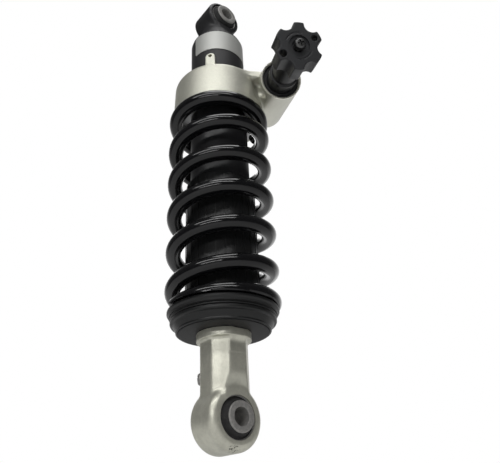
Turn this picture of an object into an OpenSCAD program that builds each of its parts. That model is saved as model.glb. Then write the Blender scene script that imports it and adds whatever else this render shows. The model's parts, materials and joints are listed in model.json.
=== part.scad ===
// Rear shock absorber with a coil spring, a hydraulic preload hand wheel and a rebound screw.
// Origin at the centre of the upper eye, +Z up along the damper, both eye axes along Y.
// At rest the damper is fully extended and the hand wheel is at its soft end.

/* [Lower fork and eye] */
// Height from the lower eye's centre to the shoulder that carries the spring seat
fork_len = 59.5; // [50:0.5:75]
// Outer radius of the lower eye
fork_eye_r = 21.65; // [20:0.05:26]
// Width of the lower eye across its faces
fork_eye_w = 27.6; // [24:0.2:34]
// Width across flats of the eight-sided neck
neck_af = 33; // [30:0.5:38]
// Radius of the round collar under the spring seat
collar_r = 20; // [19:0.25:24]
// Height of the round collar
collar_h = 8.5; // [6:0.5:12]
// Radius of the spigot that centres the spring seat
spigot_r = 15; // [13:0.25:17]

/* [Upper eye] */
// Height from the body's top rim to the upper eye's centre
cap_len = 33.3; // [30:0.1:45]
// Outer radius of the upper eye
cap_eye_r = 17.8; // [17:0.1:20]
// Width of the upper eye across its faces
cap_eye_w = 28; // [24:0.2:34]

/* [Bushes] */
// Radius of the bolt bore in both inner sleeves
bolt_r = 6.1; // [5:0.05:7]
// Outer radius of the lower inner sleeve
low_sleeve_r = 10.3; // [8.5:0.1:11.5]
// Length of the lower inner sleeve
low_sleeve_len = 36; // [35:0.2:44]
// Outer radius of the lower rubber bush
low_rubber_r = 14.4; // [12.5:0.1:16]
// Outer radius of the upper inner sleeve
up_sleeve_r = 10.6; // [8.5:0.1:11.5]
// Length of the upper inner sleeve
up_sleeve_len = 37; // [35:0.2:44]
// Outer radius of the upper rubber bush
up_rubber_r = 13.6; // [12.5:0.1:14.5]
// How far the rubber lies below the eye's faces
rubber_inset = 1.6; // [0.8:0.1:3]

/* [Damper body] */
// Outer radius of the damper tube
tube_r = 25; // [24:0.25:28]
// Wall of the damper tube
tube_wall = 2.5; // [1.5:0.1:3]
// Length of body that shows above the adjuster casting
body_show = 59; // [45:1:80]
// Height of the end cap's rim
rim_h = 3; // [2:0.25:5]
// How far the tube reaches below the spring's upper plane
tube_below = 83; // [78:0.5:95]
// Depth of the end cap's plug inside the tube
plug_h = 13; // [8:0.5:16]
// Height of the plain plate wrapped round the body
plate_h = 23; // [10:0.5:30]
// Thickness of the plain plate
plate_t = 0.3; // [0.2:0.05:0.6]
// Part of a turn that the plate covers, in degrees
plate_sweep = 205; // [120:5:270]

/* [Damper insides] */
// Radius of the damper rod
rod_r = 7; // [6:0.25:8]
// Radius of the metering needle's bore in the rod
needle_bore_r = 2.5; // [2:0.1:3]
// Height of the rod guide in the tube's lower end
head_h = 18; // [14:0.5:20]
// Height of the main piston
piston_h = 13; // [10:0.5:16]
// Radius of the rod's post that carries the piston
post_r = 5; // [4.2:0.1:5.8]
// Height of each stack of valve shims
shim_h = 2.5; // [1:0.25:4]
// Height of the top-out spacer
topout_h = 7.7; // [5:0.1:10]
// Height of the piston nut
nut_h = 7; // [5:0.5:8]
// Height of the floating piston
float_h = 13; // [10:0.5:15]
// Gap between the floating piston and the end cap's plug
gas_h = 23; // [18:0.5:26]

/* [Coil spring] */
// Outer radius of the spring
spring_r = 44; // [43:0.25:46]
// Diameter of the spring's wire
wire_d = 12.4; // [11:0.1:13]
// Length of the spring as fitted
spring_len = 182.5; // [176:0.5:196]
// Number of open turns
open_turns = 5; // [4:0.25:6]
// Height that the wire still falls below its first open coil
low_close = 15; // [13:0.1:18]
// Part of a turn over which the last open coil flattens
top_ease = 0.2; // [0.05:0.01:0.4]
// Direction of the first open coil, in degrees from +X
coil_start = 143.5; // [0:0.5:360]

/* [Spring seats] */
// Height of the lower seat from its shoulder to its pad
seat_h = 12; // [10:0.5:16]
// Thickness of the rubber pad under the spring
pad_h = 5; // [3:0.25:8]
// Outer radius of the rubber pad
pad_r = 41.7; // [40:0.1:44]
// Outer radius of the lower seat
seat_r = 39.3; // [38:0.1:40]
// Radius of the plate under the lower seat
seat_plate_r = 33.3; // [30:0.1:34]
// Thickness of the plate under the lower seat
seat_plate_h = 2.5; // [2:0.25:4]
// Thickness of the upper seat washer
washer_h = 1.8; // [1.2:0.1:2.5]
// Thickness of the preload piston's flange
flange_h = 2.6; // [2:0.1:3.5]
// Outer radius of the upper seat washer and of the preload piston's flange
washer_r = 38.4; // [37.8:0.1:38.6]

/* [Dust cover and bump stop] */
// Air between the damper body and the dust cover's wall
cover_gap = 1.7; // [1.4:0.1:2.9]
// Wall of the dust cover
cover_wall = 1.6; // [1:0.1:2.2]
// Height of the dust cover
cover_h = 113.5; // [100:0.5:114]
// Outer radius of the bump stop
bump_r = 17; // [14:0.25:22]
// Height of the bump stop
bump_h = 40; // [20:1:41]

/* [Adjuster casting] */
// Height of the casting's ring
cast_h = 34; // [32:0.5:40]
// Outer radius of the ring at its foot
cast_r = 40.5; // [40:0.1:43]
// How much narrower the ring is at its top
cast_draft = 1.2; // [0:0.1:2]
// Radius of the rounding at the ring's top
cast_round = 4.5; // [2:0.25:6]
// Thickness of the ring's roof
cast_roof = 5; // [4:0.25:6]
// Radius of the preload cylinder in the ring
preload_bore_r = 32; // [31:0.05:32.4]
// Thickness of the arm between the ring and the adjuster
arm_h = 8; // [7:0.5:16]
// How far the arm reaches in front of the damper's axis
arm_front = 33.5; // [28:0.5:36]
// How far the arm reaches behind the damper's axis
arm_back = 30; // [20:0.5:34]
// Width of the upright lug
lug_w = 9; // [7:0.25:12]
// Thickness of the upright lug
lug_t = 3.8; // [3:0.1:6]
// Height of the lug above the casting
lug_h = 23; // [16:0.5:30]
// Direction of the lug, in degrees from +X
lug_dir = -139.5; // [-180:0.5:-90]
// Radius of the lug's hole
lug_hole_r = 1.7; // [1:0.1:2.5]

/* [Preload adjuster] */
// Distance between the damper's axis and the adjuster's axis, seen from above
adj_offset = 50.3; // [49:0.1:56]
// Direction that the adjuster's mouth faces, in degrees from +X
adj_dir = -119.5; // [-150:0.5:-90]
// How far the adjuster's axis slopes down towards its mouth, in degrees
adj_slope = 21.1; // [10:0.5:30]
// How far the mouth lies in front of the damper's axis
adj_reach = 42.4; // [40:0.2:50]
// Height of the mouth's centre above the casting's foot
adj_rise = 16; // [14:0.25:20]
// Outer radius of the adjuster's barrel
barrel_r = 17.8; // [17:0.1:19.5]
// Length of the adjuster's barrel
barrel_len = 91.8; // [90:0.2:100]
// Radius of the mouth's counterbore
mouth_r = 15.95; // [15.2:0.05:16.5]
// Depth of the mouth's counterbore
mouth_depth = 10; // [8:0.25:12]
// Radius of the adjuster's cylinder
adj_bore_r = 12.5; // [11.5:0.05:13]
// Thickness of metal behind the adjuster's cylinder
barrel_end = 9.8; // [8.5:0.1:12]
// Thickness of the retaining nut
adj_nut_h = 7; // [5:0.25:8]
// Radius of the nut's hub under the hand wheel
hub_r = 10.6; // [9:0.1:12]
// Height of the hub above the mouth
hub_h = 42.1; // [36:0.1:46]
// Radius of the adjuster's spindle
spindle_r = 4; // [3.5:0.1:5]
// Length of the adjuster's piston head
adj_piston_h = 12; // [10:0.5:13]

/* [Hand wheel] */
// Radius over the lobes
wheel_r = 19; // [18:0.1:22]
// Number of lobes
lobes = 6; // [5:1:8]
// Radius at the bottom of the hollows
valley_r = 14.5; // [13.6:0.1:16]
// Radius of each hollow
scallop_r = 6.4; // [5:0.1:8]
// Thickness of the hand wheel
wheel_h = 19; // [15:0.5:28]
// Radius of the recess for the screw
recess_r = 8.4; // [6:0.1:9.5]
// Depth of the recess
recess_depth = 3; // [1.5:0.25:5]
// Distance of the two round holes from the wheel's axis
hole_at_r = 14.1; // [13.3:0.1:14.5]
// Radius of the through hole
peg_hole_r = 2.9; // [1.5:0.1:3]
// Radius of the wheel screw's head
screw_head_r = 4; // [3:0.1:5]
// Turn of the wheel's lobes, in degrees
wheel_turn = 0.9; // [-30:0.1:30]

/* [Rebound adjuster] */
// Height of the rebound screw above the lower eye
reb_z = 28.5; // [27.5:0.25:32]
// Radius of the rebound screw's shank
reb_r = 3.2; // [2.5:0.1:3.6]
// Radius of the rebound screw's head
reb_head_r = 4.4; // [3.8:0.1:5.2]
// Height of the rebound screw's head
reb_head_h = 2.2; // [1:0.1:3]

/* [Fits] */
// Radial clearance of each running fit
run_fit = 0.05; // [0.02:0.01:0.09]
// Clearance between pieces that move past each other without touching
air = 0.3; // [0.3:0.05:0.6]
// Thickness of each sealing ring
ring_d = 2.4; // [1.8:0.1:3]

/* [Hidden] */
$fn = 96;

eps = 0.01;
bore_r = tube_r - tube_wall;
wire_r = wire_d / 2;
spring_gap = 0.2;
coil_r = spring_r - wire_r;

// Heights, from the upper eye downwards
rim_z = -cap_len;
tube_top_z = rim_z - rim_h;
plug_z = tube_top_z - plug_h;
cast_top_z = rim_z - body_show;
cast_z = cast_top_z - cast_h;
tube_low_z = cast_z - tube_below;
spring_low_z = cast_z - spring_len;
pad_z = spring_low_z - pad_h;
shoulder_z = pad_z - seat_h;
seat_z = shoulder_z + seat_plate_h;
low_eye_z = shoulder_z - fork_len;

// Damper insides
clip_h = 1.6;
clip_depth = 0.9;
head_z = tube_low_z + 0.6 + clip_h;
head_top_z = head_z + head_h;
topout_z = head_top_z + air;
shim_z = topout_z + topout_h;
piston_z = shim_z + shim_h;
upper_shim_z = piston_z + piston_h;
nut_z = upper_shim_z + shim_h;
rod_top_z = nut_z + nut_h + 1.5;
rod_socket = 19;
rod_low_z = shoulder_z - rod_socket;
float_z = plug_z - gas_h - float_h;
band_h = 6;
band_t = 1.4;
port_r = 1.8;
port_ring_r = 12.5;
shim_root_r = 11;
rebound_shim_r = 14;
compression_shim_r = 15;
nut_r = 9.2;
topout_r = 10.5;

// Adjuster: its frame has +Z out of the mouth and its origin at the mouth's centre
adj_face = [cos(adj_dir), sin(adj_dir)];
adj_side = [-adj_face[1], adj_face[0]];
adj_flat = [
    adj_side[0] * adj_offset + adj_face[0] * adj_reach,
    adj_side[1] * adj_offset + adj_face[1] * adj_reach
];
adj_mouth = [adj_flat[0], adj_flat[1], cast_z + adj_rise];
adj_axis = [
    cos(adj_slope) * adj_face[0],
    cos(adj_slope) * adj_face[1],
    -sin(adj_slope)
];
adj_low = -barrel_len + barrel_end;
nut_low = -mouth_depth;
adj_sleeve = 24;
adj_sleeve_r = 6.5;
adj_piston_top = nut_low - air - adj_sleeve;
spindle_low = adj_piston_top - adj_piston_h + 2.5;
feed_r = 2;
thread_r = 2.2;
thread_depth = 12;
screw_head_h = 7.8;
wheel_low = hub_h + air;
wheel_top = wheel_low + wheel_h;
wheel_floor = wheel_top - recess_depth;

// Preload piston
preload_piston_r = preload_bore_r - run_fit;
preload_top_z = cast_top_z - cast_roof - 6;
preload_ring_z = preload_top_z - 5;
washer_top_z = cast_z + washer_h;
flange_top_z = washer_top_z + flange_h;

// Seats, cover and bump stop
washer_z = pad_z + 0.5;
bump_washer_h = 2;
bump_washer_r = 18;
bump_z = washer_z + bump_washer_h;
cover_r = tube_r + cover_gap + cover_wall;
cover_low_r = cover_r + 2.6;
cover_foot_h = 2;
cover_lip_r = tube_r + 0.6;
cover_lip_h = 3;

// Rebound adjuster: a screw square to the neck's corner flat, its tip under the needle
reb_dir = 135;
reb_tip = 1.5;
needle_r = needle_bore_r - run_fit;
reb_at_z = low_eye_z + reb_z;
needle_z = reb_at_z + reb_r + 0.35;
reb_travel = 1.5;
needle_top_z = rod_top_z - reb_travel - 1;

function along(s) = [for (i = [0:2]) adj_mouth[i] + adj_axis[i] * s];

// A ring of rectangular section
module ring(r_out, r_in, z, h) {
    translate([0, 0, z])
        difference() {
            cylinder(r = r_out, h = h);
            translate([0, 0, -1]) cylinder(r = r_in, h = h + 2);
        }
}

// A ring of round section in its groove
module sealing_ring(r_mid, z, d) {
    translate([0, 0, z])
        rotate_extrude()
            translate([r_mid, 0]) circle(d = d, $fn = 24);
}

module cylinder_y(r, w) {
    rotate([90, 0, 0]) cylinder(r = r, h = w, center = true);
}

module at_adjuster() {
    translate(adj_mouth) rotate([0, 90 + adj_slope, adj_dir]) children();
}

// A straight round bar or drilling from one point to another
module bar_between(p, q, r) {
    d = q - p;
    translate(p)
        rotate([0, acos(d[2] / norm(d)), atan2(d[1], d[0])])
            cylinder(r = r, h = norm(d));
}

// An eye with its edges chamfered, seen along Y
module eye_barrel(r, w, edge) {
    rotate([90, 0, 0])
        rotate_extrude()
            polygon([
                [0, -w / 2], [r - edge, -w / 2], [r - edge * 0.3, -w / 2 + edge * 0.3],
                [r, -w / 2 + edge], [r, w / 2 - edge], [r - edge * 0.3, w / 2 - edge * 0.3],
                [r - edge, w / 2], [0, w / 2]
            ]);
}

module bush_rubber(r_out, r_in, w) {
    rotate([90, 0, 0])
        rotate_extrude()
            polygon([
                [r_in, -w / 2 + rubber_inset], [r_out, -w / 2 + rubber_inset],
                [r_out, w / 2 - rubber_inset], [r_in, w / 2 - rubber_inset]
            ]);
}

module bush_sleeve(r, len) {
    chamfer = 0.8;
    rotate([90, 0, 0])
        rotate_extrude()
            polygon([
                [bolt_r, -len / 2], [r - chamfer, -len / 2], [r, -len / 2 + chamfer],
                [r, len / 2 - chamfer], [r - chamfer, len / 2], [bolt_r, len / 2]
            ]);
}

// ---- damper body ----

module top_cap() {
    neck_r = 14.5;
    edge = 3.5;
    color("#26272a")
        difference() {
            union() {
                eye_barrel(cap_eye_r, cap_eye_w, edge);
                translate([0, 0, rim_z - 1])
                    cylinder(r1 = neck_r + 4, r2 = neck_r - 1, h = cap_len + 1);
                translate([0, 0, tube_top_z])
                    cylinder(r = tube_r - 0.1, h = rim_h - 1);
                translate([0, 0, rim_z - 1]) cylinder(r1 = tube_r - 0.1, r2 = tube_r - 1.2, h = 1);
                translate([0, 0, plug_z]) cylinder(r = bore_r, h = plug_h + eps);
            }
            cylinder_y(up_rubber_r, up_sleeve_len + 2);
        }
}

module upper_rubber() {
    color("#161616")
        bush_rubber(up_rubber_r, up_sleeve_r + run_fit, cap_eye_w);
}

module upper_sleeve() {
    color("#a9aaa8")
        bush_sleeve(up_sleeve_r, up_sleeve_len);
}

module body_tube() {
    color("#232427")
        difference() {
            ring(tube_r, bore_r, tube_low_z, tube_top_z - tube_low_z);
            translate([0, 0, tube_low_z + 0.6]) cylinder(r = bore_r + clip_depth, h = clip_h);
        }
}

module plain_plate() {
    plate_z = tube_top_z - plate_h - 0.6;
    plate_start = -180;
    color("#c9cac8")
        rotate([0, 0, plate_start])
            translate([0, 0, plate_z])
                rotate_extrude(angle = plate_sweep)
                    translate([tube_r + eps * 3, 0]) square([plate_t, plate_h]);
}

module rod_guide() {
    land = 5;
    groove = ring_d * 0.8;
    color("#8d9094")
        difference() {
            ring(bore_r, rod_r + run_fit, head_z, head_h);
            translate([0, 0, head_z - 1]) cylinder(r = rod_r + 5, h = land + 1);
            translate([0, 0, head_top_z - land]) cylinder(r = rod_r + 5, h = land + 1);
            ring(bore_r + 1, bore_r - groove, head_z + head_h / 2 - ring_d / 2, ring_d);
        }
}

module rod_wiper() {
    color("#1b1b1b") ring(rod_r + 5, rod_r + run_fit, head_z + 0.5, 4.5);
}

module rod_seal() {
    color("#2f2a20") ring(rod_r + 5, rod_r + run_fit, head_top_z - 5, 4.5);
}

module guide_ring() {
    color("#111111")
        sealing_ring(bore_r - ring_d * 0.4, head_z + head_h / 2, ring_d * 0.76);
}

module guide_clip() {
    color("#6d6f70")
        ring(bore_r + clip_depth, bore_r - 2.5, tube_low_z + 0.6, clip_h);
}

// ---- adjuster casting ----

module casting() {
    color("#c8c6c0")
        difference() {
            union() {
                casting_ring();
                casting_arm();
                at_adjuster() barrel_outside();
                casting_lug();
            }
            translate([0, 0, cast_z - 1]) cylinder(r = tube_r, h = cast_h + 2);
            translate([0, 0, cast_z - 1]) cylinder(r = preload_bore_r, h = cast_h - cast_roof + 1);
            translate([0, 0, cast_z - 1])
                cylinder(r = washer_r + air, h = flange_top_z + air - cast_z + 1);
            at_adjuster() barrel_inside();
            casting_port();
        }
}

module casting_ring() {
    top_r = cast_r - cast_draft;
    round_steps = 5;
    translate([0, 0, cast_z])
        rotate_extrude()
            polygon(concat(
                [[0, 0], [cast_r - 0.6, 0], [cast_r, 0.6]],
                [for (i = [0:round_steps])
                    let (a = 90 * i / round_steps)
                    [top_r - cast_round * (1 - cos(a)), cast_h - cast_round * (1 - sin(a))]],
                [[0, cast_h]]
            ));
}

module casting_arm() {
    step_down = 0.5;
    translate([0, 0, cast_top_z - arm_h - step_down])
        rotate([0, 0, adj_dir + 90])
            translate([0, -arm_front, 0])
                cube([adj_offset + 2, arm_front + arm_back, arm_h]);
}

module barrel_outside() {
    back = -barrel_len + barrel_r;
    edge = 0.5;
    steps = 9;
    rotate([0, 0, 40])
        rotate_extrude()
            polygon(concat(
                [for (i = [0:steps])
                    let (a = 90 * i / steps)
                    [barrel_r * sin(a), back - barrel_r * cos(a)]],
                [[barrel_r, -edge], [barrel_r - edge, 0], [0, 0]]
            ));
}

module barrel_inside() {
    translate([0, 0, -mouth_depth]) cylinder(r = mouth_r, h = mouth_depth + 1);
    translate([0, 0, adj_low]) cylinder(r = adj_bore_r, h = -adj_low);
}

// Oil way from the far end of the adjuster's cylinder to the top of the preload cylinder
module casting_port() {
    drop = 9;
    start = along(adj_low + feed_r + 0.5) - [0, 0, drop];
    flat = norm([start[0], start[1]]);
    mid_r = (tube_r + preload_bore_r) / 2;
    end = [start[0] / flat * mid_r, start[1] / flat * mid_r, preload_top_z + feed_r];
    bar_between(start, end, feed_r);
}

module casting_lug() {
    top_z = cast_top_z + lug_h - lug_w / 2;
    low_z = cast_top_z - 4;
    near_r = tube_r + air;
    rotate([0, 0, lug_dir])
        difference() {
            union() {
                translate([near_r, -lug_w / 2, low_z]) cube([lug_t, lug_w, top_z - low_z]);
                translate([near_r, 0, top_z]) rotate([0, 90, 0]) cylinder(r = lug_w / 2, h = lug_t);
            }
            translate([near_r - 1, 0, top_z + 1]) rotate([0, 90, 0]) cylinder(r = lug_hole_r, h = lug_t + 2);
            translate([near_r + lug_t - 0.8, 0, top_z - 6.5]) rotate([0, 90, 0]) cylinder(r = 1.2, h = 2);
        }
}

// ---- preload ----

module preload_piston() {
    groove = ring_d * 0.8;
    inner_r = tube_r + run_fit;
    color("#8f9296")
        difference() {
            union() {
                ring(preload_piston_r, inner_r, washer_top_z, preload_top_z - washer_top_z);
                ring(washer_r, inner_r, washer_top_z, flange_h);
            }
            ring(preload_bore_r + 1, preload_piston_r - groove, preload_ring_z - ring_d / 2, ring_d);
            ring(tube_r + groove, tube_r - 1, preload_ring_z - ring_d * 2, ring_d);
        }
}

module preload_outer_ring() {
    color("#111111")
        sealing_ring(preload_piston_r - ring_d * 0.4, preload_ring_z, ring_d * 0.76);
}

module preload_inner_ring() {
    color("#111111")
        sealing_ring(tube_r + ring_d * 0.4 + run_fit, preload_ring_z - ring_d * 1.5, ring_d * 0.76);
}

module upper_seat() {
    color("#3a3b3d") ring(washer_r, tube_r + run_fit, cast_z, washer_h);
}

// ---- adjuster ----

module adjuster_nut() {
    notches = 12;
    shelf_at = 7;
    shelf_h = 5;
    shelf_r = hub_r + 1.8;
    color("#1d1e20")
        at_adjuster()
            difference() {
                union() {
                    translate([0, 0, nut_low]) cylinder(r = mouth_r, h = adj_nut_h);
                    translate([0, 0, nut_low]) cylinder(r = hub_r, h = mouth_depth + hub_h);
                    translate([0, 0, shelf_at]) cylinder(r = shelf_r, h = shelf_h);
                }
                translate([0, 0, nut_low - 1])
                    cylinder(r = spindle_r + run_fit, h = mouth_depth + hub_h + 2);
                for (i = [0:notches - 1])
                    rotate([0, 0, i * 360 / notches])
                        translate([shelf_r, -1.1, nut_low + adj_nut_h - 1.5])
                            cube([mouth_r, 2.2, 3]);
            }
}

module adjuster_spindle() {
    color("#9a9c9e")
        at_adjuster()
            difference() {
                translate([0, 0, spindle_low])
                    cylinder(r = spindle_r, h = wheel_floor - 4 - spindle_low);
                translate([0, 0, wheel_floor - 4 - thread_depth])
                    cylinder(r = thread_r, h = thread_depth + 1);
            }
}

module adjuster_piston() {
    groove = ring_d * 0.8;
    head = adj_piston_h;
    color("#8f9296")
        at_adjuster()
            translate([0, 0, adj_piston_top - head])
                difference() {
                    union() {
                        cylinder(r = adj_bore_r - run_fit, h = head);
                        cylinder(r = adj_sleeve_r, h = head + adj_sleeve);
                    }
                    translate([0, 0, 2]) cylinder(r = spindle_r + run_fit, h = head + adj_sleeve);
                    ring(adj_bore_r + 1, adj_bore_r - run_fit - groove, head / 2 - ring_d / 2, ring_d);
                }
}

module adjuster_ring() {
    mid = adj_piston_top - adj_piston_h / 2;
    color("#111111")
        at_adjuster()
            sealing_ring(adj_bore_r - run_fit - ring_d * 0.4, mid, ring_d * 0.76);
}

module hand_wheel() {
    scallop_at = valley_r + scallop_r;
    blind_r = peg_hole_r * 0.85;
    blind_depth = 4;
    peg_dir = -360 / lobes;
    color("#2b2c2e")
        at_adjuster()
            rotate([0, 0, wheel_turn])
                difference() {
                    union() {
                        translate([0, 0, wheel_low]) cylinder(r = wheel_r - 0.8, h = wheel_h);
                        translate([0, 0, wheel_low + 0.8]) cylinder(r = wheel_r, h = wheel_h - 1.6);
                    }
                    for (i = [0:lobes - 1])
                        rotate([0, 0, (i + 0.5) * 360 / lobes])
                            translate([scallop_at, 0, wheel_low - 1])
                                cylinder(r = scallop_r, h = wheel_h + 2);
                    translate([0, 0, wheel_floor]) cylinder(r = recess_r, h = recess_depth + 1);
                    translate([0, 0, wheel_low - 1]) cylinder(r = spindle_r, h = wheel_h - recess_depth - 3);
                    translate([0, 0, wheel_floor - 5]) cylinder(r = thread_r, h = 8);
                    rotate([0, 0, peg_dir])
                        translate([hole_at_r, 0, wheel_low - 1])
                            cylinder(r = peg_hole_r, h = wheel_h + 2);
                    rotate([0, 0, peg_dir + floor(lobes / 2) * 360 / lobes])
                        translate([hole_at_r, 0, wheel_top - blind_depth])
                            cylinder(r = blind_r, h = blind_depth + 1);
                }
}

module wheel_screw() {
    slot_w = 1;
    slot_depth = 1.8;
    slot_reach = screw_head_r * 0.6;
    rim_h = screw_head_h - 1.2;
    head_top = wheel_floor + screw_head_h;
    shank = thread_depth + 2;
    color("#3c3d3f")
        at_adjuster()
            difference() {
                union() {
                    translate([0, 0, wheel_floor]) cylinder(r = screw_head_r, h = rim_h);
                    translate([0, 0, wheel_floor + rim_h])
                        cylinder(r1 = screw_head_r, r2 = screw_head_r * 0.7, h = screw_head_h - rim_h);
                    translate([0, 0, wheel_floor - shank]) cylinder(r = thread_r, h = shank + 1);
                }
                for (a = [0, 90])
                    rotate([0, 0, a + 20])
                        translate([-slot_reach, -slot_w / 2, head_top - slot_depth])
                            cube([slot_reach * 2, slot_w, slot_depth + 1]);
            }
}

// ---- coil spring ----

// Height of the wire's middle after t turns from its first open coil. Below that coil it falls
// more and more slowly, down to one wire for each turn; above the last one it lies flat.
function wire_z(t) =
    let (
        ease = 0.4,
        top = cast_z - spring_gap - wire_r,
        first = spring_low_z + low_close,
        pitch = (top - first) / (open_turns + top_ease / 2 - 0.05),
        u = min(ease, max(0, -t)),
        beyond = max(0, -t - ease),
        end_t = open_turns - 0.05 + top_ease / 2,
        v = min(top_ease, max(0, end_t - t))
    )
    t < 0 ? first - pitch * u + (pitch - wire_d) * u * u / (2 * ease) - wire_d * beyond
    : t < end_t - top_ease ? first + pitch * t
    : top - pitch * v * v / (2 * top_ease);

// The lower end is ground flat, so nothing of it lies below the pad
module coil_spring() {
    sides = 12;
    per_turn = 24;
    first_t = -0.92;
    last_t = open_turns + 0.58;
    low_z = spring_low_z + spring_gap;
    rings = ceil((last_t - first_t) * per_turn);
    points = [
        for (i = [0:rings], j = [0:sides - 1])
            let (
                t = first_t + (last_t - first_t) * i / rings,
                a = coil_start + 360 * t,
                b = 360 * j / sides,
                r = coil_r + wire_r * cos(b)
            )
            [r * cos(a), r * sin(a), max(low_z, wire_z(t) + wire_r * sin(b))]
    ];
    walls = [
        for (i = [0:rings - 1], j = [0:sides - 1])
            let (k = (j + 1) % sides)
            [i * sides + j, i * sides + k, (i + 1) * sides + k, (i + 1) * sides + j]
    ];
    start_cap = [[for (j = [0:sides - 1]) sides - 1 - j]];
    end_cap = [[for (j = [0:sides - 1]) rings * sides + j]];
    color("#131417") polyhedron(points, concat(walls, start_cap, end_cap), convexity = 10);
}

// ---- floating piston ----

module floating_piston() {
    groove = ring_d * 0.8;
    cup = 6;
    color("#8f9296")
        difference() {
            translate([0, 0, float_z]) cylinder(r = bore_r - run_fit, h = float_h);
            translate([0, 0, float_z + float_h - cup]) cylinder(r = bore_r - 5, h = cup + 1);
            translate([0, 0, float_z - 1]) cylinder(r = 3, h = float_h);
            ring(bore_r + 1, bore_r - run_fit - groove, float_z + float_h / 2 - ring_d / 2, ring_d);
        }
}

module floating_ring() {
    color("#111111")
        sealing_ring(bore_r - run_fit - ring_d * 0.4, float_z + float_h / 2, ring_d * 0.76);
}

module floating_screw() {
    color("#9a9c9e")
        union() {
            translate([0, 0, float_z + 1]) cylinder(r = 3, h = float_h - 6);
            translate([0, 0, float_z + float_h - 6]) cylinder(r = 5, h = 3, $fn = 6);
        }
}

// ---- rod and piston ----

module rod() {
    color("#d4d6d8")
        difference() {
            union() {
                translate([0, 0, rod_low_z]) cylinder(r = rod_r, h = shim_z - rod_low_z);
                translate([0, 0, rod_low_z]) cylinder(r = post_r, h = rod_top_z - rod_low_z);
            }
            translate([0, 0, rod_low_z - 1])
                cylinder(r = needle_bore_r, h = rod_top_z - rod_low_z + 2);
        }
}

module rebound_shims() {
    color("#9a9c9e")
        union() {
            ring(rebound_shim_r, post_r, shim_z + shim_h / 2, shim_h / 2);
            ring(shim_root_r, post_r, shim_z, shim_h / 2);
        }
}

module compression_shims() {
    color("#9a9c9e")
        union() {
            ring(compression_shim_r, post_r, upper_shim_z, shim_h / 2);
            ring(shim_root_r, post_r, upper_shim_z + shim_h / 2, shim_h / 2);
        }
}

module main_piston() {
    ports = 6;
    color("#8d9094")
        difference() {
            ring(bore_r - run_fit * 2, post_r, piston_z, piston_h);
            ring(bore_r + 1, bore_r - run_fit - band_t, piston_z + (piston_h - band_h) / 2, band_h);
            for (i = [0:ports - 1])
                rotate([0, 0, i * 360 / ports])
                    translate([port_ring_r, 0, piston_z - 1]) cylinder(r = port_r, h = piston_h + 2);
        }
}

module piston_band() {
    color("#4a4238")
        ring(bore_r - run_fit, bore_r - run_fit - band_t, piston_z + (piston_h - band_h) / 2, band_h);
}

module piston_nut() {
    color("#8a8c8e")
        difference() {
            translate([0, 0, nut_z]) cylinder(r = nut_r, h = nut_h, $fn = 6);
            translate([0, 0, nut_z - 1]) cylinder(r = post_r, h = nut_h + 2);
        }
}

module topout_spacer() {
    color("#5b5142") ring(topout_r, rod_r, topout_z, topout_h);
}

// ---- seats, cover and bump stop ----

module bump_washer() {
    color("#7f8183") ring(bump_washer_r, rod_r, washer_z, bump_washer_h);
}

module bump_stop() {
    waists = 2;
    waist_r = 3;
    color("#2a2723")
        difference() {
            ring(bump_r, rod_r, bump_z, bump_h);
            for (i = [1:waists])
                translate([0, 0, bump_z + bump_h * i / (waists + 1)])
                    rotate_extrude()
                        translate([bump_r + 0.8, 0]) circle(r = waist_r, $fn = 24);
        }
}

module dust_cover() {
    inner_r = cover_r - cover_wall;
    top_z = pad_z + cover_h;
    color("#17181b")
        rotate_extrude()
            polygon([
                [inner_r, pad_z], [cover_low_r, pad_z], [cover_low_r, pad_z + cover_foot_h],
                [cover_r, pad_z + cover_foot_h], [cover_r, top_z - 0.6], [cover_r - 0.6, top_z],
                [cover_lip_r, top_z], [cover_lip_r, top_z - cover_lip_h],
                [inner_r, top_z - cover_lip_h - 1.5]
            ]);
}

module spring_pad() {
    inner_r = cover_low_r + air;
    color("#1c1d1f")
        translate([0, 0, pad_z])
            rotate_extrude()
                polygon([
                    [inner_r, 0], [pad_r - 1.4, 0], [pad_r - 0.3, pad_h * 0.35],
                    [pad_r, pad_h * 0.7], [pad_r - 0.8, pad_h], [inner_r, pad_h]
                ]);
}

module lower_seat() {
    inner_r = spigot_r + run_fit;
    lip_r = seat_plate_r + 0.1;
    color("#222326")
        rotate_extrude()
            polygon([
                [inner_r, seat_z], [lip_r, seat_z], [lip_r, shoulder_z + 0.7],
                [lip_r + 1.2, shoulder_z + 0.4], [seat_r - 3, shoulder_z + 1.5],
                [seat_r - 1.3, shoulder_z + 4], [seat_r - 0.2, shoulder_z + 7],
                [seat_r, pad_z - 2], [seat_r - 0.6, pad_z - 1.6], [seat_r, pad_z - 1.2],
                [seat_r - 0.6, pad_z - 0.4], [seat_r - 0.2, pad_z], [inner_r, pad_z]
            ]);
}

module seat_plate() {
    color("#2a2b2d") ring(seat_plate_r, spigot_r, shoulder_z, seat_plate_h);
}

// ---- fork ----

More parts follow.
